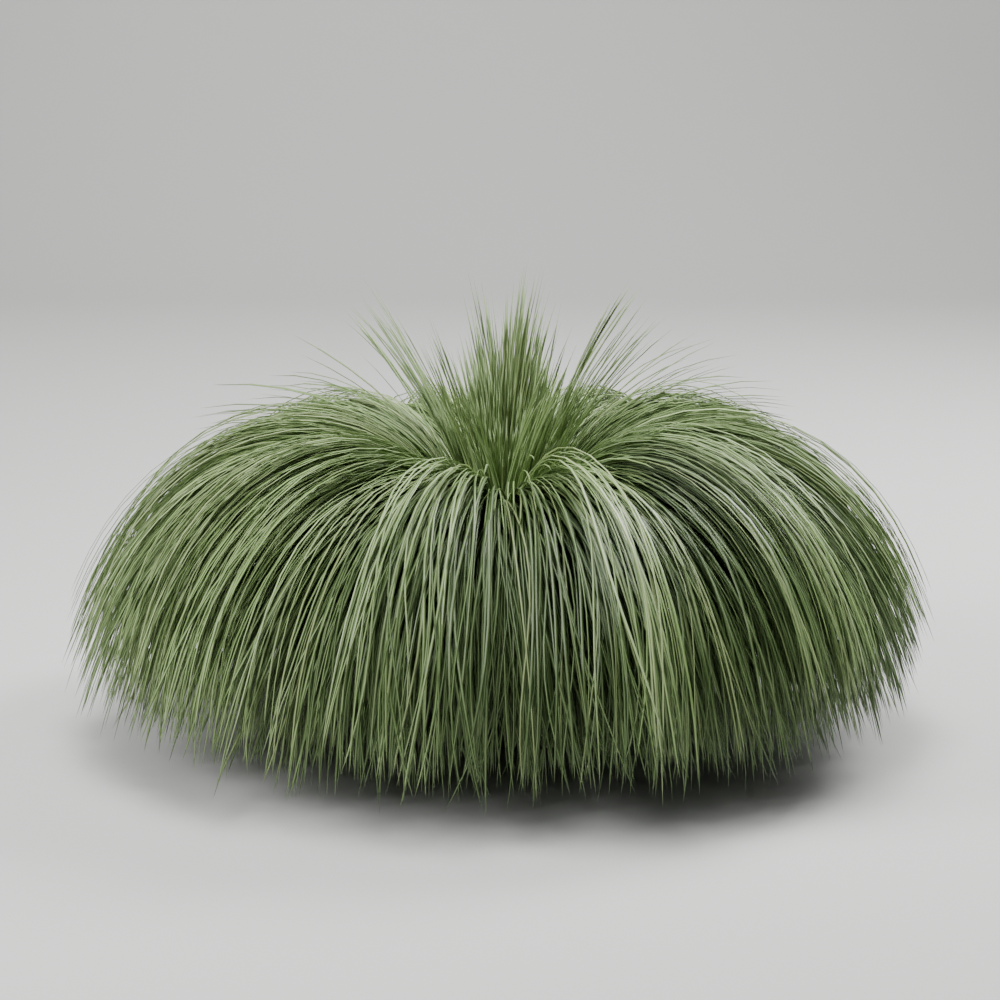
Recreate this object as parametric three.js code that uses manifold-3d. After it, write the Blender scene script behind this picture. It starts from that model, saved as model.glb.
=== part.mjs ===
// A clump of fountain grass in a plain round nursery pot.
// Millimetres, +Z up. The origin is the centre of the pot's flat base, and the front faces -Y.

import * as THREE from 'three';
import { mergeVertices } from 'three/addons/utils/BufferGeometryUtils.js';
import Module from 'manifold-3d';

const wasm = await Module();
wasm.setup();

// The gap kept between neighbouring pieces that touch on the real plant.
const SEAT_GAP = 0.3;

// Pot
const POT_HEIGHT = 290;
const POT_BASE_RADIUS = 120;
const POT_WALL_TOP_RADIUS = 147;
const POT_WALL = 3;
const POT_FLOOR = 4;
const RIM_BAND_HEIGHT = 28;
const RIM_BAND_OUT = 5;
const POT_EDGE = 3;
const POT_SIDES = 26;
const DRAIN_NOTCHES = 6;
const DRAIN_RADIUS = 9;
const DRAIN_HEIGHT = 14;
const DRAIN_INSET = 4;

// Soil
const SOIL_LEVEL = 278;
const HOLE_DEPTH = 40;

// Blades: where they begin, how far above the ground their tips end, and their keel's depth
const BLADE_START = 289;
const HEM_HEIGHT = 22;
const HEM_RAGGED = 40;
const KEEL_AT_ROOT = 1.3;
const KEEL_AT_TIP = 0.9;

// How much of its core's half depth and half width a bunch's blades start across.
const ROOT_DEEP = 0.6;
const ROOT_WIDE = 0.68;

// The three rings of bunches. Each bunch is a core of tillers and a fan of blades, laid in
// columns across the fan and in layers from the uppermost blades to the lowest ones.
// Angles are in degrees, azimuths count from +X and leans from upright. A pair of values
// is for the uppermost layer and for the lowest one.
//   reaches: the full blade length of each bunch, counterclockwise from azimuth
//   first and last: a blade's lean at its start and at its tip
//   length: a blade's share of the reach, and vary its random spread
//   bend: how much of the turning over comes early, where 1 is even
const CORE_SIDES = 8;
const OUTER = {
  name: 'outer_tuft',
  reaches: [830, 830, 885, 885, 890, 905, 905, 915, 905, 885],
  azimuth: -111,
  seed: 11,
  ring: 80,
  core: { wide: 20, deep: 13, high: 34, lean: 16 },
  layers: 7,
  columns: 4,
  spread: 17,
  first: [8, 54],
  last: [174, 170],
  length: [0.93, 0.62],
  bend: [1.5, 1.6],
  segments: [6, 4],
  vary: 0.05,
  width: 6,
  color: 0x799055,
};
const MIDDLE = {
  name: 'middle_tuft',
  reaches: [320, 410, 350, 410, 350],
  azimuth: -57,
  seed: 51,
  ring: 45,
  core: { wide: 13, deep: 9, high: 34, lean: 8 },
  layers: 3,
  columns: 4,
  spread: 31,
  first: [9, 15],
  last: [34, 96],
  length: [0.9, 1],
  bend: [1, 1],
  segments: [3, 4],
  vary: 0.1,
  width: 4.8,
  color: 0x829e5c,
};
const INNER = {
  name: 'inner_tuft',
  reaches: [320, 320, 320],
  azimuth: -90,
  seed: 41,
  ring: 15,
  core: { wide: 9, deep: 8, high: 34, lean: 3 },
  layers: 3,
  columns: 5,
  spread: 52,
  first: [1, 4],
  last: [3, 20],
  length: [1, 0.75],
  bend: [1, 1],
  segments: [2, 2],
  vary: 0.12,
  width: 4.4,
  color: 0x8ba763,
};

const rad = THREE.MathUtils.degToRad;
const mix = THREE.MathUtils.lerp;

// Seeded random numbers from 0 to 1, the same on every run.
function seeded(seed) {
  let state = seed >>> 0;
  return () => {
    state = (Math.imul(state, 1664525) + 1013904223) >>> 0;
    return state / 4294967296;
  };
}

// A three.js geometry as a solid, for joining and cutting.
function toSolid(geometry) {
  const bare = geometry.clone();
  bare.deleteAttribute('normal');
  bare.deleteAttribute('uv');
  const merged = mergeVertices(bare, 1e-4);
  const vertProperties = new Float32Array(merged.attributes.position.array);
  const triVerts = new Uint32Array(merged.index.array);
  return new wasm.Manifold(new wasm.Mesh({ numProp: 3, vertProperties, triVerts }));
}

// A solid back as a three.js geometry.
function toGeometry(solid) {
  const mesh = solid.getMesh();
  const geometry = new THREE.BufferGeometry();
  geometry.setAttribute('position', new THREE.BufferAttribute(mesh.vertProperties, 3));
  geometry.setIndex(new THREE.BufferAttribute(mesh.triVerts, 1));
  geometry.computeVertexNormals();
  return geometry;
}

// A lathe round the Z axis, from a profile of [radius, height] pairs.
function turned(profile, sides) {
  const points = profile.map(([r, z]) => new THREE.Vector2(r, z));
  const geometry = new THREE.LatheGeometry(points, sides);
  geometry.rotateX(Math.PI / 2);
  return geometry;
}

// Radius of the pot's inner wall face at a height.
function innerRadius(z) {
  const taper = (POT_WALL_TOP_RADIUS - POT_BASE_RADIUS) / POT_HEIGHT;
  return POT_BASE_RADIUS + taper * z - POT_WALL;
}

function potGeometry() {
  const bandFoot = POT_HEIGHT - RIM_BAND_HEIGHT;
  const outside = (z) => innerRadius(z) + POT_WALL;
  const profile = [
    [0, 0],
    [outside(0) - POT_EDGE, 0],
    [outside(POT_EDGE), POT_EDGE],
    [outside(bandFoot), bandFoot],
    [outside(bandFoot) + RIM_BAND_OUT, bandFoot + POT_EDGE],
    [outside(POT_HEIGHT) + RIM_BAND_OUT, POT_HEIGHT - POT_EDGE],
    [outside(POT_HEIGHT) + RIM_BAND_OUT - POT_EDGE, POT_HEIGHT],
    [innerRadius(POT_HEIGHT), POT_HEIGHT],
    [innerRadius(POT_FLOOR), POT_FLOOR],
    [0, POT_FLOOR],
  ];
  let pot = toSolid(turned(profile, POT_SIDES));
  for (let i = 0; i < DRAIN_NOTCHES; i += 1) {
    const cutter = new THREE.CylinderGeometry(DRAIN_RADIUS, DRAIN_RADIUS, 2 * DRAIN_HEIGHT, 8);
    cutter.rotateX(Math.PI / 2);
    cutter.translate(POT_BASE_RADIUS - DRAIN_INSET, 0, 0);
    cutter.rotateZ(((i + 0.5) / DRAIN_NOTCHES) * 2 * Math.PI);
    pot = pot.subtract(toSolid(cutter));
  }
  return toGeometry(pot);
}

// How far a core has leaned outwards at a height.
function coreShift(core, z) {
  return Math.tan(rad(core.lean)) * Math.max(0, z - SOIL_LEVEL);
}

// The bundle of tillers that a tuft's blades stand out of: an elliptic peg in the soil
// that leans outwards above it and closes in a low dome. The grow value widens it all round,
// which gives the hole that it stands in.
function coreGeometry(core, grow = 0) {
  const foot = SOIL_LEVEL - HOLE_DEPTH - grow;
  const top = grow ? SOIL_LEVEL + 30 : SOIL_LEVEL + core.high;
  const profile = grow
    ? [[0, foot], [1, foot], [1, top], [0, top]]
    : [
        [0, foot],
        [1, foot],
        [1, SOIL_LEVEL],
        [0.95, SOIL_LEVEL + 0.4 * core.high],
        [0.65, SOIL_LEVEL + 0.8 * core.high],
        [0, top],
      ];
  const geometry = turned(profile, CORE_SIDES);
  geometry.scale(core.deep + grow, core.wide + grow, 1);
  const position = geometry.attributes.position;
  for (let i = 0; !grow && i < position.count; i += 1) {
    position.setX(i, position.getX(i) + coreShift(core, position.getZ(i)));
  }
  return geometry;
}

// The centreline of a blade in its tuft's frame: it starts at a lean and turns over
// towards a second one, quickly at first and then more slowly, and drifts a little sideways.
// Returns points with the share of the length and the lean at each.
function centreline(blade) {
  const steps = 60;
  const points = [];
  let out = 0;
  let up = 0;
  let next = 0;
  for (let i = 0; i <= steps; i += 1) {
    const s = i / steps;
    const station = next / blade.segments;
    const even = 1 - (1 - station) ** (1 / blade.bend);
    const due = Math.round(steps * mix(station, even, 0.5));
    const lean = rad(mix(blade.first, blade.last, 1 - (1 - s) ** blade.bend));
    if (i === due) {
      const side = blade.drift * s * s * blade.length;
      points.push({ s, lean, at: new THREE.Vector3(out, side, up) });
      next += 1;
    }
    const middle = rad(mix(blade.first, blade.last, 1 - (1 - s - 0.5 / steps) ** blade.bend));
    out += (Math.sin(middle) * blade.length) / steps;
    up += (Math.cos(middle) * blade.length) / steps;
  }
  return points;
}

// The longest that a blade may be for its tip to stay at or above a height. The whole
// curve scales with the length, so its fall for a unit length gives the answer.
function longest(blade, height) {
  const fall = -centreline({ ...blade, length: 1 }).at(-1).at.z;
  return fall > 0 ? (BLADE_START - height) / fall : Infinity;
}

// A blade of grass: a tapered strip with a flat upper face and a keel below, closed by
// a triangle at the root and a point at the tip.
function bladeGeometry(blade) {
  const line = centreline(blade);
  const vertices = [];
  const faces = [];
  line.slice(0, -1).forEach(({ s, lean, at }) => {
    const half = 0.5 * blade.width * Math.min(1, 0.62 + 1.5 * s) * (1 - s ** 2.2) ** 0.8;
    const keel = mix(KEEL_AT_ROOT, KEEL_AT_TIP, s);
    const over = new THREE.Vector3(-Math.cos(lean), 0, Math.sin(lean));
    const roll = blade.roll * s;
    const across = new THREE.Vector3(0, Math.cos(roll), 0).addScaledVector(over, Math.sin(roll));
    const below = new THREE.Vector3(0, Math.sin(roll), 0).addScaledVector(over, -Math.cos(roll));
    vertices.push(at.clone().addScaledVector(across, -half));
    vertices.push(at.clone().addScaledVector(across, half));
    vertices.push(at.clone().addScaledVector(below, keel));
  });
  vertices.push(line.at(-1).at);
  const rings = line.length - 1;
  faces.push(0, 1, 2);
  for (let ring = 0; ring < rings - 1; ring += 1) {
    for (let side = 0; side < 3; side += 1) {
      const a = 3 * ring + side;
      const b = 3 * ring + ((side + 1) % 3);
      faces.push(a, a + 3, b, b, a + 3, b + 3);
    }
  }
  const lastRing = 3 * (rings - 1);
  const tip = 3 * rings;
  faces.push(lastRing, tip, lastRing + 1);
  faces.push(lastRing + 1, tip, lastRing + 2);
  faces.push(lastRing + 2, tip, lastRing);
  const geometry = new THREE.BufferGeometry().setFromPoints(vertices);
  geometry.setIndex(faces);
  geometry.rotateZ(blade.turn);
  geometry.translate(...blade.root);
  return geometry;
}

// All blades of one tuft. Column after column across the fan takes the next layer down,
// so that neighbours never lie in one another, and the boundary blades keep to the tuft's wedge.
function tuftGeometry(kind, reach, seed) {
  const random = seeded(seed);
  const spray = (size) => size * (2 * random() - 1);
  let tuft = toSolid(coreGeometry(kind.core));
  const count = kind.layers * kind.columns;
  for (let i = 0; i < count; i += 1) {
    const layer = i % kind.layers;
    const q = layer / (kind.layers - 1);
    const c = (2 * (i + 0.5)) / count - 1;
    const pick = ([top, low]) => mix(top, low, q);
    const blade = {
      first: pick(kind.first) + spray(1.5),
      last: pick(kind.last) + spray(3),
      length: reach * pick(kind.length) * (1 + spray(kind.vary)),
      bend: pick(kind.bend),
      segments: Math.round(pick(kind.segments)),
      drift: spray(0.015),
      roll: spray(0.5),
      width: kind.width,
      turn: rad(kind.spread * c),
      root: [
        coreShift(kind.core, BLADE_START) + mix(-ROOT_DEEP, ROOT_DEEP, q) * kind.core.deep,
        ROOT_WIDE * c * kind.core.wide,
        BLADE_START,
      ],
    };
    blade.length = Math.min(blade.length, longest(blade, HEM_HEIGHT + HEM_RAGGED * random()));
    tuft = tuft.add(toSolid(bladeGeometry(blade)));
  }
  return toGeometry(tuft);
}

const plant = new THREE.Group();
const grassFinish = (color) => new THREE.MeshStandardMaterial({ color, roughness: 0.55, metalness: 0 });

const pot = new THREE.Mesh(
  potGeometry(),
  new THREE.MeshStandardMaterial({ color: 0x24262a, roughness: 0.5, metalness: 0 }),
);
pot.name = 'pot';
plant.add(pot);

// Each ring of tufts stands on the soil, evenly round the middle. The soil gets a hole for each.
const stands = [];
for (const kind of [OUTER, MIDDLE, INNER]) {
  kind.reaches.forEach((reach, i) => {
    const azimuth = rad(kind.azimuth + (360 * i) / kind.reaches.length);
    const mesh = new THREE.Mesh(tuftGeometry(kind, reach, kind.seed + i), grassFinish(kind.color));
    mesh.name = `${kind.name}_${String(i + 1).padStart(2, '0')}`;
    mesh.position.set(kind.ring * Math.cos(azimuth), kind.ring * Math.sin(azimuth), 0);
    mesh.rotation.z = azimuth;
    plant.add(mesh);
    stands.push({ core: kind.core, mesh });
  });
}

function soilGeometry() {
  const foot = POT_FLOOR + SEAT_GAP;
  const profile = [
    [0, foot],
    [innerRadius(foot) - SEAT_GAP, foot],
    [innerRadius(SOIL_LEVEL) - SEAT_GAP, SOIL_LEVEL],
    [0, SOIL_LEVEL],
  ];
  let soil = toSolid(turned(profile, POT_SIDES));
  for (const { core, mesh } of stands) {
    const hole = coreGeometry(core, SEAT_GAP / Math.cos(Math.PI / CORE_SIDES));
    hole.rotateZ(mesh.rotation.z);
    hole.translate(mesh.position.x, mesh.position.y, 0);
    soil = soil.subtract(toSolid(hole));
  }
  return toGeometry(soil);
}

const soil = new THREE.Mesh(
  soilGeometry(),
  new THREE.MeshStandardMaterial({ color: 0x2f241b, roughness: 0.95, metalness: 0 }),
);
soil.name = 'soil';
plant.add(soil);

export default plant;
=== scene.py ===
"""A clump of fountain grass in a plain round nursery pot, dressed for the studio.

Metres, +Z up, with the origin at the centre of the pot's flat base and the front towards -Y.
Each bunch of the plant is one piece: a fan of fine blades that rise from the crown, turn over
and hang. All blades follow one bending law, with numbers of their own for each ring and for the
combed bunches at the flanks and the back. Every random draw is seeded.
"""

import math

import bpy
import numpy as np
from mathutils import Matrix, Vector


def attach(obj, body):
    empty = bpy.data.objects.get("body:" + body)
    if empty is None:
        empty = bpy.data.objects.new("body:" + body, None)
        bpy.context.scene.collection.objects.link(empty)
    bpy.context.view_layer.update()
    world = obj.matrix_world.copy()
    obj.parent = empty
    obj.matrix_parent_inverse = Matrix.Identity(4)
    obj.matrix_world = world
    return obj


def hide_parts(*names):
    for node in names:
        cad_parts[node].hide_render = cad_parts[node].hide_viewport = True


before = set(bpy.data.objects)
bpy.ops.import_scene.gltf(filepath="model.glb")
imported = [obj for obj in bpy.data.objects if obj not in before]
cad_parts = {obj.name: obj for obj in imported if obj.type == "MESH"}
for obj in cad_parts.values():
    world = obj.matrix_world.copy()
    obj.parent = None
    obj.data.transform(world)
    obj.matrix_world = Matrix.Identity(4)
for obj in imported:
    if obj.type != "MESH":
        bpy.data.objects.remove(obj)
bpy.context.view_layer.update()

# Pot and soil
POT_HEIGHT = 0.290
POT_BASE_RADIUS = 0.120
POT_WALL_TOP_RADIUS = 0.147
POT_WALL = 0.003
POT_FLOOR = 0.004
RIM_BAND_HEIGHT = 0.028
RIM_BAND_OUT = 0.005
POT_EDGE = 0.003
POT_SIDES = 104
DRAIN_NOTCHES = 6
DRAIN_RADIUS = 0.009
DRAIN_HEIGHT = 0.014
DRAIN_INSET = 0.004
SOIL_LEVEL = 0.278
SEAT_GAP = 0.0003
SOIL_SIDES = 168
SOIL_RINGS = 70
SOIL_FOOT_RING = 0.06
SOIL_SEED = 7
SOIL_WAVES = 90
SOIL_WAVE_RATES = (60, 420)
SOIL_WAVE_FADE = 90
SOIL_RELIEF = 0.0060
SOIL_CALM_EDGE = 0.004
SOIL_EDGE_RISE = 0.02

# Blades
BLADE_FOOT = 0.262
BLADE_START = 0.289
HEM_HEIGHT = 0.036
HEM_RAGGED = 0.056
KEEL_AT_ROOT = 0.0013
KEEL_AT_TIP = 0.0009
KEEL_BLADE_WIDTH = 0.004
NECK_SHARE = 0.7
NECK_GROWTH = 1.2
TIP_SHARPNESS = 20
SHARE_POWER = 1.5
GOLDEN_SHARE = 0.618034
TONES = 32
# Tone strips run darker with a blade's depth: painted shade on the lower layers
TONE_BY_DEPTH = 0.9
TONE_BY_CHANCE = 0.1

# How far blades stray from their places in the fan, by the lock and by the single blade.
# Leans and turns are in degrees, the roll is in radians.
ACROSS_STRAY = (0.03, 0.09)
DEPTH_STRAY = (0, 0.10)
FIRST_STRAY = (1.5, 2.0)
LAST_STRAY = (2.5, 4.0)
BEND_STRAY = (0.04, 0.06)
TURN_STRAY = (1.2, 3.0)
ROOT_STRAY = (0, 0.002)
ROLL_STRAY = (0, 0.5)
MOST_ACROSS = 1.06
MOST_LEAN = 177
STIR_ON_TOP = 0.6
STIR_BY_DEPTH = 1.2

# Shares that are drawn and then raised to a power: the higher, the fewer blades get much of it
SHORT_POWER = 1.6
INWARD_POWER = 2.5
WIDE_POWER = 1.5
LEAST_WIDTH = 0.72
WIDTH_BY_CHANCE = 0.62
CALM_WIDTH = 0.85
LIVELY_WIDTH = 0.15

# The three rings of bunches. Angles are in degrees, azimuths count from +X and leans from
# upright. These have a value for each bunch, or one for all the ring's bunches:
#   reaches   length that the blades' lengths are shares of
#   sweeps    how far the fan is turned from the bunch's azimuth
#   crests    share of the locks that lie on top, and steps, the share that leads down from them
#   leans     what is added to the lean at the root
#   lively    how much the blades stray
#   counts    blades
#   combed    how much of the combed law the blades follow
#   painted_shade_rate  how fast the tone darkens with depth, as painted shade
# These hold for the whole ring, and a pair is for the uppermost layer and for the lowest one:
#   azimuth, ring      the first bunch's direction, and the distance from the pot's axis
#   wide, deep         half the width and half the depth of the patch where the blades start
#   core_lean          lean of the bunch's foot
#   spread, dome       half the fan's angle, and how much deeper its sides lie than its middle
#   layers             depths at the end of the crest, at the end of the step and at the bottom
#   fill               what is added to the bend of the low blades that fill the inside
#   first, last        leans at the root and at the tip
#   length, bend       the length as a share of the reach, and the power of the bending law
#   comb               the combed law, whose tips point outwards
#   vary               share by which a lock and a single blade may be shorter
#   drift, ripple      the way to the side, as shares of the length
#   locks              groups of nearly parallel blades
#   stations, crowd    rings of points along a blade, and how they crowd at the tip
#   width, taper       the full width, and the share of it that is lost on the way to the tip
RINGS = (
    dict(
        name="outer_tuft", slot="outer_blades", seed=110, azimuth=-111, ring=0.080,
        reaches=(0.830, 0.830, 0.885, 0.890, 0.890, 0.840, 0.790, 0.875, 0.910, 0.885),
        sweeps=(5, 8, 4, 0, 0, -6, 6, 0, 0, -3),
        crests=(0.12, 0.12, 0.12, 0.12, 0.16, 0.30, 0.30, 0.16, 0.12, 0.12), steps=0.10,
        leans=(6, 5, 1, 0, 0, 0, 0, 0, 0, 2),
        lively=(1.0, 1.05, 0.9, 0.4, 0.3, 0.15, 0.15, 0.3, 0.4, 0.8),
        counts=(430, 470, 760, 820, 800, 760, 760, 800, 820, 780),
        combed=(0, 0.1, 0.5, 0.85, 1, 1, 1, 1, 1, 0.6),
        painted_shade_rate=(2.5, 2.4, 2.2, 1.3, 0.8, 0.7, 0.7, 0.6, 0.4, 0.45),
        wide=0.022, deep=0.015, core_lean=16, spread=(13, 40), dome=0.45,
        layers=(0.08, 0.16, 1.15), fill=2.4,
        first=(8, 54), last=(174, 170), length=(0.955, 0.64), bend=(1.5, 1.6),
        comb=dict(first=(10, 45), last=(160, 163), length=(0.82, 0.78), bend=(1.45, 1.50)),
        vary=(0.03, 0.15), drift=(0.03, 0.06), ripple=0.014,
        locks=46, stations=18, crowd=1.3, width=0.0040, taper=0.25,
    ),
    dict(
        name="middle_tuft", slot="middle_blades", seed=310, azimuth=-57, ring=0.045,
        reaches=(0.320, 0.410, 0.300, 0.420, 0.350),
        sweeps=0,
        crests=(0.22, 0.14, 0.50, 0.22, 0.06), steps=(0.02, 0.12, 0.10, 0.02, 0.02),
        leans=(0, 0, 0, 7, 0),
        lively=(0.6, 0.6, 0.3, 0.6, 0.6),
        counts=(110, 150, 110, 190, 150),
        combed=0,
        painted_shade_rate=1,
        wide=0.033, deep=0.020, core_lean=8, spread=(6, 38), dome=0.1,
        layers=(0.12, 0.80, 1.15), fill=0,
        first=(13, 20), last=(34, 108), length=(0.98, 1.1), bend=(1.0, 1.2),
        vary=(0.12, 0.22), drift=(0.02, 0.03), ripple=0.006,
        locks=20, stations=12, crowd=1.0, width=0.0042, taper=0.42,
    ),
    dict(
        name="inner_tuft", slot="inner_blades", seed=410, azimuth=-90, ring=0.015,
        reaches=(0.250, 0.330, 0.330),
        sweeps=0,
        crests=0.15, steps=0.10,
        leans=(0, 3, 3),
        lively=1,
        counts=(190, 200, 200),
        combed=0,
        painted_shade_rate=1,
        wide=0.022, deep=0.024, core_lean=3, spread=(42, 60), dome=0.0,
        layers=(0.10, 0.20, 1.15), fill=0,
        first=(1, 8), last=(8, 26), length=(1.18, 0.82), bend=(1.0, 1.0),
        vary=(0.27, 0.28), drift=(0.02, 0.03), ripple=0.005,
        locks=18, stations=9, crowd=1.0, width=0.0046, taper=0.42,
    ),
)

# Camera: the photograph's angle, as pixels of a picture 1000 wide
CAMERA_ELEVATION = 12.5
CAMERA_DISTANCE = 3.9
CAMERA_TARGET_HEIGHT = 0.333
PLANT_AXIS_PIXEL = 505
PICTURE_WIDTH = 1000
PIXELS_PER_METRE = 708
SENSOR = 36

# Studio: each softbox has its place, what it is aimed at, its size and its watts
SOFTBOXES = dict(
    key_softbox=((-0.1, -0.2, 3.2), (0, 0, 0.3), (1.4, 1.4), 148),
    fill_softbox=((-3.0, -1.2, 2.3), (0, 0, 0.3), (1.5, 1.5), 138),
    rim_softbox=((2.2, 1.5, 2.6), (0, 0, 0.3), (1.2, 1.2), 166),
    backdrop_wash=((0, 2.2, 3.4), (0, 5.6, 1.2), (5.0, 0.6), 150),
)
AIR_LIGHT = 0.09


# Meshes

def make_piece(name, points, faces, uvs=None, smooth=True):
    """Puts arrays into a mesh object: points (n, 3), a list of face arrays (m, corners), uvs (n, 2)."""
    mesh = bpy.data.meshes.new(name)
    corners = np.concatenate([f.ravel() for f in faces]).astype(np.int32)
    totals = np.concatenate([np.full(len(f), f.shape[1]) for f in faces]).astype(np.int32)
    starts = np.concatenate([[0], np.cumsum(totals)[:-1]]).astype(np.int32)
    mesh.vertices.add(len(points))
    mesh.vertices.foreach_set("co", np.asarray(points, np.float32).ravel())
    mesh.loops.add(len(corners))
    mesh.loops.foreach_set("vertex_index", corners)
    mesh.polygons.add(len(totals))
    mesh.polygons.foreach_set("loop_start", starts)
    mesh.polygons.foreach_set("loop_total", totals)
    mesh.polygons.foreach_set("use_smooth", np.full(len(totals), smooth))
    if uvs is not None:
        layer = mesh.uv_layers.new(name="OFBake")
        layer.data.foreach_set("uv", np.asarray(uvs, np.float32)[corners].ravel())
    mesh.update(calc_edges=True)
    mesh.validate()
    piece = bpy.data.objects.new(name, mesh)
    bpy.context.scene.collection.objects.link(piece)
    return piece


def ring_faces(rings, sides):
    """Quads between rings of a closed tube of the given sides, with faces outwards, as corner numbers."""
    ring = np.arange(rings - 1)[:, None] * sides
    side = np.arange(sides)[None, :]
    after = (side + 1) % sides
    return np.stack([ring + side, ring + after, ring + sides + after, ring + sides + side], -1).reshape(-1, 4)


def turned_piece(name, profile, sides, relief=None):
    """A profile of (radius, height) rows carried round the Z axis, closed by a pole at each end.

    Point(row, angle) = (radius * cos angle, radius * sin angle, height + relief), where relief is a
    function of x, y, the radius and the height.
    """
    profile = np.asarray(profile, float)
    angle = np.arange(sides) / sides * 2 * np.pi
    body = profile[1:-1]
    radius, height = body[:, :1], body[:, 1:]
    x = radius * np.cos(angle)
    y = radius * np.sin(angle)
    z = height + (0 if relief is None else relief(x, y, radius, height))
    rings = np.stack([x, y, z + 0 * x], -1).reshape(-1, 3)
    first, last = [0, 0, profile[0, 1]], [0, 0, profile[-1, 1]]
    if relief is not None:
        axis = np.zeros((1, 1))
        last[2] += relief(axis, axis, axis, axis + last[2]).item()
    points = np.concatenate([[first], rings, [last]])
    step = np.arange(sides)
    after = (step + 1) % sides
    end = 1 + (len(body) - 1) * sides
    foot = np.stack([0 * step, 1 + after, 1 + step], -1)
    head = np.stack([0 * step + len(points) - 1, end + step, end + after], -1)
    return make_piece(name, points, [1 + ring_faces(len(body), sides), foot, head])


def pick(pair, q):
    """The value between the uppermost layer's and the lowest layer's at depth q."""
    return pair[0] + (pair[1] - pair[0]) * q


def centrelines(first, last, length, bend, stations, crowd):
    """Blade centrelines in their own upright planes, one row a blade.

    The lean at share s of the length is first + (last - first) * (1 - (1 - s) ** bend). The
    distance out is the running sum of sin(lean), and the height that of cos(lean), times the
    length. Share s = 1 - (1 - t ** SHARE_POWER) ** crowd for even steps of t, so that the
    stations lie closer at the root, and at the tip too where crowd is above 1.
    """

    def lean_at(share):
        return first[:, None] + (last - first)[:, None] * (1 - (1 - share) ** bend[:, None])

    fine = 4
    t = np.arange(stations * fine + 1) / (stations * fine)
    s = 1 - (1 - t**SHARE_POWER) ** crowd
    step = np.diff(s) * length[:, None]
    lean = lean_at((s[1:] + s[:-1]) / 2)
    zero = np.zeros((len(length), 1))
    out = np.hstack([zero, np.cumsum(np.sin(lean) * step, 1)])
    up = np.hstack([zero, np.cumsum(np.cos(lean) * step, 1)])
    s = s[::fine]
    return s, out[:, ::fine], up[:, ::fine], lean_at(s)


def blade_surfaces(root, turn, length, drift, ripple, phase, roll, width, taper, tone, line):
    """Closed three-sided blades, as points, faces and uvs.

    A section is two edges half a width to each side of the centreline and a keel below it.
    Width = full width * min(1, NECK_SHARE + NECK_GROWTH * s) * (1 - taper * s) * the square root of
    (1 - s ** TIP_SHARPNESS). The section rolls about the centreline by roll * s. The side way is
    drift * s ** 2 plus a ripple. Each blade has a pole at the foot, below the soil's face, and one
    at the tip.
    """
    s, out, up, lean = line
    stations = len(s) - 1
    s_row = s[None, :]
    wave = ripple[:, None] * np.sin(2 * np.pi * (1.4 * s_row + phase[:, None])) * s_row
    side = length[:, None] * (drift[:, None] * s_row**2 + wave)
    half = 0.5 * width[:, None] * np.minimum(1, NECK_SHARE + NECK_GROWTH * s_row) * (1 - taper * s_row)
    half *= np.sqrt(1 - s_row**TIP_SHARPNESS)
    keel = (KEEL_AT_ROOT + (KEEL_AT_TIP - KEEL_AT_ROOT) * s_row) * width[:, None] / KEEL_BLADE_WIDTH
    angle = roll[:, None] * s_row
    over_out, over_up = -np.cos(lean), np.sin(lean)
    offsets = (
        (-half * np.cos(angle), -half * np.sin(angle)),
        (half * np.cos(angle), half * np.sin(angle)),
        (keel * np.sin(angle), -keel * np.cos(angle)),
    )
    corners = []
    for across, over in offsets:
        corners.append(np.stack([out + over * over_out, side + across, up + over * over_up], -1))
    rings = np.stack(corners, 2)[:, :-1]
    tips = np.stack([out[:, -1], side[:, -1], up[:, -1]], -1)[:, None, None]
    feet = np.zeros_like(tips)
    count = len(length)
    local = np.concatenate(
        [feet.reshape(count, 1, 3), rings.reshape(count, -1, 3), tips.reshape(count, 1, 3)], 1
    )
    cos, sin = np.cos(turn)[:, None], np.sin(turn)[:, None]
    points = np.stack(
        [
            root[:, :1] + local[..., 0] * cos - local[..., 1] * sin,
            root[:, 1:2] + local[..., 0] * sin + local[..., 1] * cos,
            root[:, 2:] + local[..., 2],
        ],
        -1,
    )
    points[:, :1, 2] = BLADE_FOOT
    per_blade = points.shape[1]
    base = np.arange(count)[:, None, None] * per_blade
    sides = np.arange(3)
    after = (sides + 1) % 3
    walls = (base + 1 + ring_faces(stations, 3)[None]).reshape(-1, 4)
    foot = (base + np.stack([0 * sides, 1 + after, 1 + sides], -1)[None]).reshape(-1, 3)
    end = per_blade - 4
    tip = (base + np.stack([0 * sides + per_blade - 1, end + sides, end + after], -1)[None]).reshape(-1, 3)
    # The map keeps a little clear of its borders: u from 0.004 to 0.996, v of a strip from 0.12 to 0.88
    along = np.concatenate([[0.004], np.repeat(0.012 + 0.975 * s[:-1], 3), [0.996]])
    across = np.concatenate([[0.5], np.tile([0.12, 0.88, 0.5], stations), [0.5]])
    uvs = np.empty((count, per_blade, 2))
    uvs[..., 0] = along
    uvs[..., 1] = (tone[:, None] + across) / TONES
    return points.reshape(-1, 3), [walls, foot, tip], uvs.reshape(-1, 2)


def own(kind, name, index):
    """A bunch's own value, or the one that all its ring's bunches share."""
    value = kind[name]
    return value[index] if isinstance(value, tuple) else value


def law(kind, name, index):
    """A ring's pair for the bending law, moved towards its combed one by the bunch's share."""
    plain = np.array(kind[name])
    return plain + (np.array(kind.get("comb", kind)[name]) - plain) * own(kind, "combed", index)


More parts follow.
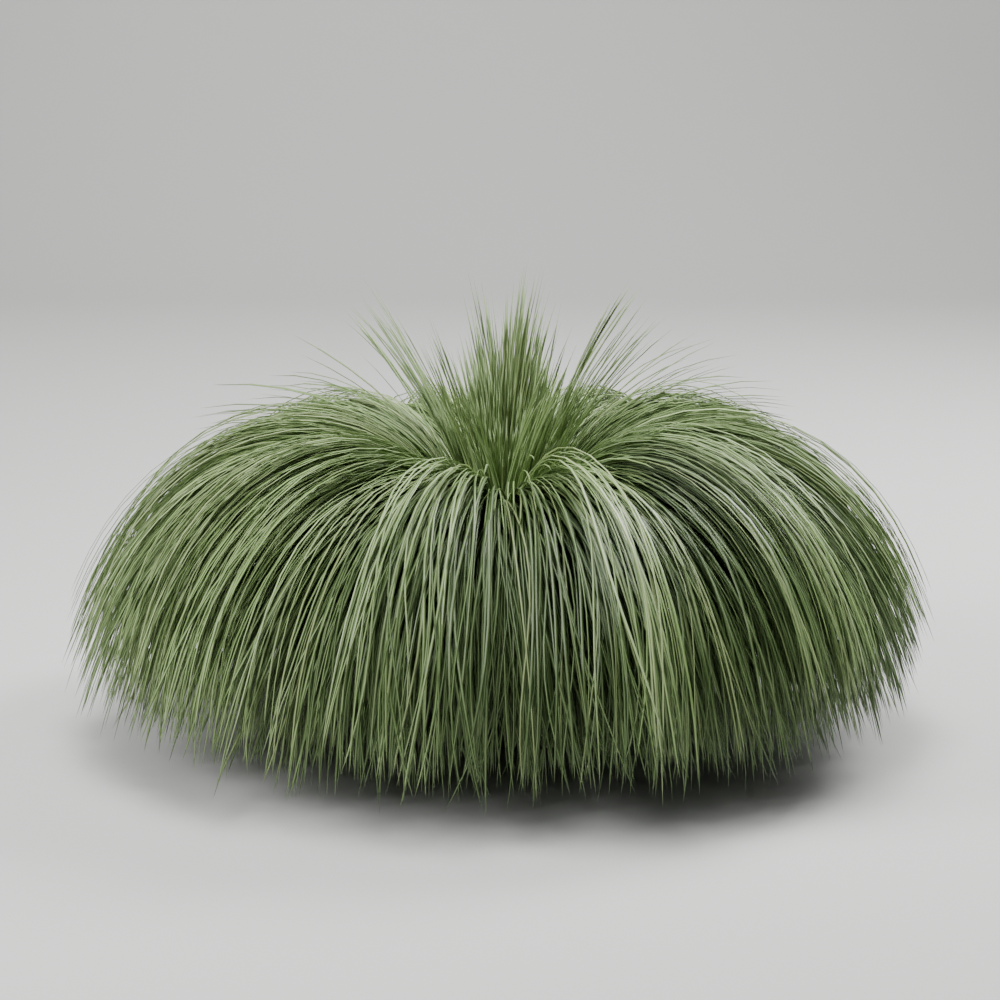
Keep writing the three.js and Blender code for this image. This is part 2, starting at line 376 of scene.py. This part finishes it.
def tuft_piece(kind, index):
    """One bunch: locks of nearly parallel blades, spread over the fan and through its layers.

    Here c is a blade's place across the fan, from -1 to 1, and q its depth, from 0 on top to 1
    and a little more at the bottom. Blades that hang are cut to end above the floor.
    """
    rng = np.random.default_rng(kind["seed"] + index)
    count, locks = kind["counts"][index], kind["locks"]
    lively = own(kind, "lively", index)
    lock = np.arange(count) % locks

    def spray(by_lock, by_blade):
        """A stray for each blade, from its lock's draw and its own, and at most twice their size."""
        draw = rng.normal(0, by_lock, locks)[lock] + rng.normal(0, by_blade, count)
        most = 2 * math.hypot(by_lock, by_blade)
        return np.clip(draw, -most, most)

    lock_c = (2 * np.arange(locks) + 1) / locks - 1
    lock_q = (np.arange(locks) * GOLDEN_SHARE + rng.random()) % 1
    c = np.clip(lock_c[lock] + spray(*ACROSS_STRAY), -MOST_ACROSS, MOST_ACROSS)
    crest = own(kind, "crests", index)
    shares = (0, crest, crest + own(kind, "steps", index), 1)
    q = np.interp(lock_q[lock] + spray(*DEPTH_STRAY), shares, (0, *kind["layers"])) + kind["dome"] * c**2
    depth = np.clip(q, 0, 1)
    stir = lively * (STIR_ON_TOP + STIR_BY_DEPTH * depth)
    root_lean = pick(law(kind, "first", index), q) + own(kind, "leans", index)
    first = np.radians(root_lean + lively * spray(*FIRST_STRAY))
    tip_lean = pick(law(kind, "last", index), q)
    last = np.radians(np.minimum(tip_lean + lively * spray(*LAST_STRAY), MOST_LEAN))
    by_lock, by_blade = kind["vary"]
    stretch = 1 - by_lock * rng.random(locks)[lock] - by_blade * rng.random(count) ** SHORT_POWER
    length = kind["reaches"][index] * pick(law(kind, "length", index), q) * stretch
    inward = np.clip(2 * q - 1, 0, 1) * rng.random(count) ** INWARD_POWER
    bend = pick(law(kind, "bend", index), q) + spray(*BEND_STRAY) + kind["fill"] * inward
    shape = dict(first=first, last=last, bend=bend, stations=kind["stations"], crowd=kind["crowd"])
    fall = -centrelines(length=np.ones(count), **shape)[2][:, -1]
    hem = HEM_HEIGHT + HEM_RAGGED * rng.random(count)
    length = np.where(fall > 0, np.minimum(length, (BLADE_START - hem) / np.maximum(fall, 1e-3)), length)
    azimuth = math.radians(kind["azimuth"] + 360 * index / len(kind["reaches"]))
    shift = math.tan(math.radians(kind["core_lean"])) * (BLADE_START - SOIL_LEVEL)
    out = kind["ring"] + shift + (2 * depth - 1) * kind["deep"] + spray(*ROOT_STRAY)
    side = c * kind["wide"] + spray(*ROOT_STRAY)
    root = np.stack(
        [
            out * math.cos(azimuth) - side * math.sin(azimuth),
            out * math.sin(azimuth) + side * math.cos(azimuth),
            np.full(count, BLADE_START),
        ],
        -1,
    )
    fan = own(kind, "sweeps", index) + pick(kind["spread"], q) * c
    full_width = kind["width"] * (CALM_WIDTH + LIVELY_WIDTH * lively)
    # Painted shade: the deeper a blade lies, the darker its tone strip, at the bunch's own rate
    painted_shade = TONE_BY_DEPTH * own(kind, "painted_shade_rate", index) * depth
    points, faces, uvs = blade_surfaces(
        root=root,
        turn=azimuth + np.radians(fan + stir * spray(*TURN_STRAY)),
        line=centrelines(length=length, **shape),
        length=length,
        drift=stir * spray(*kind["drift"]),
        ripple=lively * spray(0, kind["ripple"]),
        phase=rng.random(count),
        roll=spray(*ROLL_STRAY),
        width=full_width * (LEAST_WIDTH + WIDTH_BY_CHANCE * rng.random(count) ** WIDE_POWER),
        taper=kind["taper"],
        tone=np.clip(np.floor((painted_shade + TONE_BY_CHANCE * rng.random(count)) * TONES), 0, TONES - 1),
    )
    return make_piece(f"{kind['name']}_blades_{index + 1:02d}", points, faces, uvs)


# Finishes

class Value:
    """A shader socket that takes part in arithmetic: each operator adds its Math node."""

    def __init__(self, finish, socket):
        self.finish = finish
        self.socket = socket

    def _math(self, operation, a, b=None):
        sockets = {0: a} if b is None else {0: a, 1: b}
        return self.finish.node("ShaderNodeMath", {"operation": operation}, sockets)

    def __add__(self, other):
        return self._math("ADD", self, other)

    def __radd__(self, other):
        return self._math("ADD", other, self)

    def __sub__(self, other):
        return self._math("SUBTRACT", self, other)

    def __rsub__(self, other):
        return self._math("SUBTRACT", other, self)

    def __mul__(self, other):
        return self._math("MULTIPLY", self, other)

    def __rmul__(self, other):
        return self._math("MULTIPLY", other, self)

    def __truediv__(self, other):
        return self._math("DIVIDE", self, other)

    def __abs__(self):
        return self._math("ABSOLUTE", self)

    def floor(self):
        return self._math("FLOOR", self)


class Finish:
    """A material that is put together node by node, with one Principled shader."""

    def __init__(self, name):
        self.material = bpy.data.materials.new(name)
        self.material.use_nodes = True
        self.tree = self.material.node_tree
        self.tree.nodes.clear()
        self.output = self.tree.nodes.new("ShaderNodeOutputMaterial")
        self.shader = self.tree.nodes.new("ShaderNodeBsdfPrincipled")
        self.tree.links.new(self.shader.outputs[0], self.output.inputs["Surface"])

    def feed(self, node, name, value):
        """Gives a socket a value, or a link where the value is another socket."""
        if isinstance(value, Value):
            self.tree.links.new(value.socket, node.inputs[name])
        else:
            node.inputs[name].default_value = value

    def node(self, kind, settings=None, sockets=None, output=0):
        """Adds a node: its settings are set first, then its sockets get values or links."""
        node = self.tree.nodes.new(kind)
        for name, value in (settings or {}).items():
            if name == "stops":
                ramp = node.color_ramp
                while len(ramp.elements) < len(value):
                    ramp.elements.new(1)
                for element, (place, colour) in zip(ramp.elements, value):
                    element.position = place
                    element.color = (*colour, 1)
            else:
                setattr(node, name, value)
        for name, value in (sockets or {}).items():
            self.feed(node, name, value)
        return Value(self, node.outputs[output])

    def mix(self, share, a, b):
        """Two colours mixed by a share."""
        settings = {"data_type": "RGBA", "clamp_factor": True}
        return self.node("ShaderNodeMix", settings, {0: share, 6: a, 7: b}, 2)

    def step(self, value, low, high):
        """0 below low, 1 above high and a soft rise between."""
        settings = {"interpolation_type": "SMOOTHSTEP"}
        sockets = {"Value": value, "From Min": low, "From Max": high}
        return self.node("ShaderNodeMapRange", settings, sockets)

    def noise(self, vector, scale, detail=2.0, roughness=0.5):
        sockets = {"Vector": vector, "Scale": scale, "Detail": detail, "Roughness": roughness}
        return self.node("ShaderNodeTexNoise", None, sockets)

    def surface(self, base_color, roughness):
        self.feed(self.shader, "Base Color", base_color)
        self.feed(self.shader, "Roughness", roughness)

    def bump(self, height, strength, distance):
        sockets = {"Strength": strength, "Distance": distance, "Height": height}
        normal = self.node("ShaderNodeBump", None, sockets)
        self.feed(self.shader, "Normal", normal)


def colour(red, green, blue):
    return (red, green, blue, 1.0)


def grass_finish(name, root, body, pale, painted_shade_colour, straw, painted_shade_strength, satin, tip=None, tip_share=0.0):
    """Blades: colour runs from root to tip, and each strip of the map is one blade's tone.

    The map's u runs along the blade. Its v has one strip for each tone, from the upper layers to
    the lower ones, which get painted shade, and the place within a strip runs across the blade,
    so the midrib, partly a painted highlight, and the painted shade of the edges are drawn on it.
    """
    finish = Finish(name)
    place = finish.node("ShaderNodeUVMap", {"uv_map": "OFBake"})
    along = finish.node("ShaderNodeSeparateXYZ", None, {0: place}, 0)
    strip = finish.node("ShaderNodeSeparateXYZ", None, {0: place}, 1) * TONES
    row = strip.floor()
    across = strip - row
    tone = finish.node("ShaderNodeTexWhiteNoise", {"noise_dimensions": "1D"}, {"W": row + 0.5})
    hue = finish.node("ShaderNodeTexWhiteNoise", {"noise_dimensions": "1D"}, {"W": row + 40.5})
    stops = [(0.0, root), (0.22, body)]
    base = finish.node("ShaderNodeValToRGB", {"stops": stops}, {0: along})
    base = finish.mix(finish.step(tone, 0.45, 1.0) * 0.8, base, colour(*pale))
    # Painted shade: strips of the lower layers are darkened towards the shade colour, and light is the share
    # of pale mottle and midrib left on them
    depth = row / TONES
    painted_shade = finish.step(depth, 0.02, 0.55) * painted_shade_strength
    light = 1.0 - 0.4 * painted_shade
    base = finish.mix(painted_shade, base, colour(*painted_shade_colour))
    base = finish.mix(finish.step(hue, 0.86, 0.90) * 0.6, base, colour(*straw))
    long_place = finish.node("ShaderNodeCombineXYZ", None, {0: along * 9.0, 1: row * 3.7, 2: across * 0.8})
    mottle = finish.noise(long_place, 1.0, 3.0, 0.6)
    base = finish.mix(finish.step(mottle, 0.35, 0.75) * 0.3 * light, base, colour(*pale))
    # A pale line down the blade's middle: partly its real midrib and partly a painted highlight, as on a
    # round strand
    from_rib = abs(across - 0.5)
    midrib_and_painted_highlight = 1.0 - finish.step(from_rib, 0.02, 0.12)
    base = finish.mix(midrib_and_painted_highlight * 0.35 * light, base, colour(*pale))
    # Painted shade along both edges of every blade, as on a round strand
    edge = finish.step(from_rib, 0.20, 0.38)
    base = finish.mix(edge * 0.6, base, colour(*painted_shade_colour))
    if tip:
        base = finish.mix(finish.step(along, 0.55, 1.0) * tip_share, base, colour(*tip))
    finish.surface(base_color=base, roughness=satin + 0.2 * mottle)
    return finish.material


def pot_finish():
    """Satin black moulded plastic: fine grain, faint scuffs and a little dust low on the wall."""
    finish = Finish("pot_plastic")
    place = finish.node("ShaderNodeTexCoord", None, None, 3)
    height = finish.node("ShaderNodeSeparateXYZ", None, {0: place}, 2)
    grain = finish.noise(place, 900.0, 2.0)
    scuff = finish.noise(place, 26.0, 5.0, 0.65)
    dust = (1.0 - finish.step(height, 0.0, 0.09)) * finish.step(scuff, 0.4, 0.7)
    worn = finish.step(scuff, 0.5, 0.8) * 0.5
    base = finish.mix(worn, colour(0.016, 0.017, 0.019), colour(0.035, 0.036, 0.038))
    base = finish.mix(dust * 0.35, base, colour(0.14, 0.12, 0.10))
    finish.surface(base_color=base, roughness=0.38 + 0.2 * scuff)
    finish.bump(grain, 0.25, 0.0006)
    return finish.material


def soil_finish():
    """Moist potting mix: dark crumbs, fibres of bark and a few pale grains."""
    finish = Finish("potting_mix")
    place = finish.node("ShaderNodeTexCoord", None, None, 3)
    crumb = finish.noise(place, 140.0, 5.0, 0.65)
    bark = finish.noise(place, 45.0, 2.0)
    cells = finish.node("ShaderNodeTexVoronoi", None, {"Vector": place, "Scale": 260.0}, 0)
    grains = 1.0 - finish.step(cells, 0.08, 0.16)
    base = finish.mix(finish.step(crumb, 0.35, 0.7), colour(0.016, 0.010, 0.007), colour(0.075, 0.046, 0.028))
    base = finish.mix(finish.step(bark, 0.55, 0.7) * 0.6, base, colour(0.11, 0.062, 0.032))
    base = finish.mix(grains * 0.35 * finish.step(bark, 0.4, 0.6), base, colour(0.34, 0.31, 0.27))
    finish.surface(base_color=base, roughness=0.92)
    finish.bump(crumb + cells, 0.8, 0.004)
    return finish.material


# Pieces

def put_on(piece, material, slot, *nodes):
    """Dresses a new piece, lets it ride with the plant and stand for its nodes."""
    piece.data.materials.append(material)
    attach(piece, "root")
    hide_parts(*nodes)
    return piece


def inner_radius(z):
    """Radius of the pot's inner wall face at a height."""
    return POT_BASE_RADIUS + (POT_WALL_TOP_RADIUS - POT_BASE_RADIUS) / POT_HEIGHT * z - POT_WALL


def outer_radius(z):
    """Radius of the pot's outer wall face at a height."""
    return inner_radius(z) + POT_WALL


def rounded(corner, before, after, radius, count=5):
    """Points of a small arc that rounds a profile's corner: a curve pulled to the corner."""
    corner, before, after = (np.asarray(p, float) for p in (corner, before, after))
    start = corner + (before - corner) / np.linalg.norm(before - corner) * radius
    end = corner + (after - corner) / np.linalg.norm(after - corner) * radius
    t = np.linspace(0, 1, count)[:, None]
    return (1 - t) ** 2 * start + 2 * t * (1 - t) * corner + t**2 * end


def pot_piece():
    """The pot's wall profile with rounded corners, turned, with notches cut at the foot."""
    band_foot = POT_HEIGHT - RIM_BAND_HEIGHT
    corners = [
        ((0, 0), 0),
        ((outer_radius(0), 0), POT_EDGE),
        ((outer_radius(band_foot), band_foot), 0.0015),
        ((outer_radius(band_foot) + RIM_BAND_OUT, band_foot + POT_EDGE), 0.002),
        ((outer_radius(POT_HEIGHT) + RIM_BAND_OUT, POT_HEIGHT), POT_EDGE),
        ((inner_radius(POT_HEIGHT), POT_HEIGHT), 0.0015),
        ((inner_radius(POT_FLOOR), POT_FLOOR), 0.002),
        ((0, POT_FLOOR), 0),
    ]
    profile = [np.array([corners[0][0]])]
    for (before, _), (corner, radius), (after, _) in zip(corners, corners[1:], corners[2:]):
        profile.append(rounded(corner, before, after, radius))
    profile.append(np.array([corners[-1][0]]))
    pot = turned_piece("nursery_pot", np.concatenate(profile), POT_SIDES)
    cutter = notch_cutter()
    cut = pot.modifiers.new("notches", "BOOLEAN")
    cut.operation = "DIFFERENCE"
    cut.solver = "EXACT"
    cut.object = cutter
    shown = pot.evaluated_get(bpy.context.evaluated_depsgraph_get())
    finished = bpy.data.meshes.new_from_object(shown)
    pot.modifiers.clear()
    pot.data = finished
    bpy.data.objects.remove(cutter)
    finished.set_sharp_from_angle(angle=math.radians(40))
    return pot


def notch_cutter():
    """Upright rods round the pot's foot, as one mesh: the shape of the drain notches."""
    sides = 32
    angle = np.arange(sides) / sides * 2 * np.pi
    around = (np.arange(DRAIN_NOTCHES) + 0.5) / DRAIN_NOTCHES * 2 * np.pi
    centre = (POT_BASE_RADIUS - DRAIN_INSET) * np.stack([np.cos(around), np.sin(around)], -1)
    ring = DRAIN_RADIUS * np.stack([np.cos(angle), np.sin(angle)], -1)
    flat = centre[:, None] + ring[None]
    low = np.dstack([flat, np.full(flat.shape[:2], -DRAIN_HEIGHT)])
    high = np.dstack([flat, np.full(flat.shape[:2], DRAIN_HEIGHT)])
    points = np.concatenate([low, high], 1).reshape(-1, 3)
    base = np.arange(DRAIN_NOTCHES)[:, None, None] * 2 * sides
    walls = (base + ring_faces(2, sides)[None]).reshape(-1, 4)
    step = np.arange(sides)
    lids = (base + np.stack([step[::-1], sides + step])[None]).reshape(-1, sides)
    return make_piece("notch_cutter", points, [walls, lids], smooth=False)


def soil_piece():
    """Potting mix up to the soil level, its top face crumbly: a sum of small seeded waves.

    Relief = sum of sin(x * rate along x + y * rate along y + phase) * wave height, on the top face
    alone, and calm towards the pot's wall.
    """
    rng = np.random.default_rng(SOIL_SEED)
    waves = rng.normal(0, 1, (SOIL_WAVES, 2)) * rng.uniform(*SOIL_WAVE_RATES, (SOIL_WAVES, 1))
    phases = rng.uniform(0, 2 * np.pi, SOIL_WAVES)
    heights = SOIL_RELIEF / (1 + np.linalg.norm(waves, axis=1) / SOIL_WAVE_FADE) / math.sqrt(8)

    def relief(x, y, radius, height):
        edge = np.clip((inner_radius(SOIL_LEVEL) - SOIL_CALM_EDGE - radius) / SOIL_EDGE_RISE, 0, 1)
        turn = x[..., None] * waves[:, 0] + y[..., None] * waves[:, 1] + phases
        return edge * (np.sin(turn) * heights).sum(-1) * (height >= SOIL_LEVEL)

    foot = POT_FLOOR + SEAT_GAP
    wall = [(inner_radius(z) - SEAT_GAP, z) for z in np.linspace(foot, SOIL_LEVEL, 6)]
    top = [(radius, SOIL_LEVEL) for radius in np.linspace(wall[-1][0], 0, SOIL_RINGS)[1:]]
    profile = [(0, foot), (SOIL_FOOT_RING, foot)] + wall + top
    return turned_piece("potting_mix_fill", profile, SOIL_SIDES, relief)


put_on(pot_piece(), pot_finish(), "pot", "pot")
put_on(soil_piece(), soil_finish(), "soil", "soil")

finishes = {
    "outer_tuft": grass_finish(
        "outer_grass", root=(0.20, 0.34, 0.065), body=(0.205, 0.325, 0.095),
        pale=(0.44, 0.56, 0.28), painted_shade_colour=(0.036, 0.075, 0.013), straw=(0.33, 0.40, 0.17),
        painted_shade_strength=0.93, satin=0.32,
    ),
    "middle_tuft": grass_finish(
        "middle_grass", root=(0.34, 0.48, 0.19), body=(0.26, 0.38, 0.15), tip=(0.15, 0.22, 0.07),
        pale=(0.36, 0.47, 0.22), painted_shade_colour=(0.12, 0.21, 0.045), straw=(0.33, 0.40, 0.16), painted_shade_strength=0.6, satin=0.45,
        tip_share=0.75,
    ),
    "inner_tuft": grass_finish(
        "inner_grass", root=(0.48, 0.62, 0.28), body=(0.31, 0.43, 0.18), tip=(0.09, 0.14, 0.045),
        pale=(0.33, 0.44, 0.19), painted_shade_colour=(0.15, 0.25, 0.055), straw=(0.32, 0.40, 0.16), painted_shade_strength=0.4, satin=0.50,
        tip_share=0.8,
    ),
}
for kind in RINGS:
    for index in range(len(kind["reaches"])):
        node = f"{kind['name']}_{index + 1:02d}"
        put_on(tuft_piece(kind, index), finishes[kind["name"]], kind["slot"], node)


# Studio

def studio_sweep():
    """A pale floor that curves up into a backdrop: a profile of depth and height carried along X."""
    turn = np.linspace(0, np.pi / 2, 16)
    radius, back, front, half, top = 1.6, 4.2, -4.5, 7.0, 5.5
    depth = np.concatenate([[front], back + radius * np.sin(turn), [back + radius]])
    height = np.concatenate([[0], radius * (1 - np.cos(turn)), [top]])
    left = np.stack([0 * depth - half, depth, height], -1)
    right = left * [-1, 1, 1]
    row = np.arange(len(depth) - 1)
    faces = np.stack([row, len(depth) + row, len(depth) + row + 1, row + 1], -1)
    sweep = make_piece("studio_sweep", np.concatenate([left, right]), [faces])
    finish = Finish("studio_paper")
    finish.surface(base_color=colour(0.54, 0.54, 0.53), roughness=0.9)
    sweep.data.materials.append(finish.material)


def softbox(name, place, target, size, watts):
    """A rectangular lamp at a place, turned to face its target."""
    lamp = bpy.data.lights.new(name, "AREA")
    lamp.shape = "RECTANGLE"
    lamp.size, lamp.size_y = size
    lamp.energy = watts
    holder = bpy.data.objects.new(name, lamp)
    holder.location = place
    holder.rotation_euler = (Vector(target) - Vector(place)).to_track_quat("-Z", "Y").to_euler()
    bpy.context.scene.collection.objects.link(holder)


def studio_light():
    """Faint even light from all sides, and the softboxes."""
    world = bpy.data.worlds.new("studio_air")
    bpy.context.scene.world = world
    world.use_nodes = True
    world.node_tree.nodes["Background"].inputs["Color"].default_value = colour(1.0, 1.0, 1.0)
    world.node_tree.nodes["Background"].inputs["Strength"].default_value = AIR_LIGHT
    for name, (place, target, size, watts) in SOFTBOXES.items():
        softbox(name, place, target, size, watts)


def camera():
    """Looks along +Y from above, with the plant's axis at its pixel of the picture."""
    lens = CAMERA_DISTANCE * PIXELS_PER_METRE / PICTURE_WIDTH * SENSOR
    data = bpy.data.cameras.new("camera")
    data.lens = lens
    data.sensor_width = SENSOR
    holder = bpy.data.objects.new("camera", data)
    elevation = math.radians(CAMERA_ELEVATION)
    aside = -(PLANT_AXIS_PIXEL - PICTURE_WIDTH / 2) / PIXELS_PER_METRE
    back = Vector((0, -math.cos(elevation), math.sin(elevation)))
    holder.location = Vector((aside, 0, CAMERA_TARGET_HEIGHT)) + CAMERA_DISTANCE * back
    holder.rotation_euler = (math.pi / 2 - elevation, 0, 0)
    bpy.context.scene.collection.objects.link(holder)
    bpy.context.scene.camera = holder


studio_sweep()
studio_light()
camera()
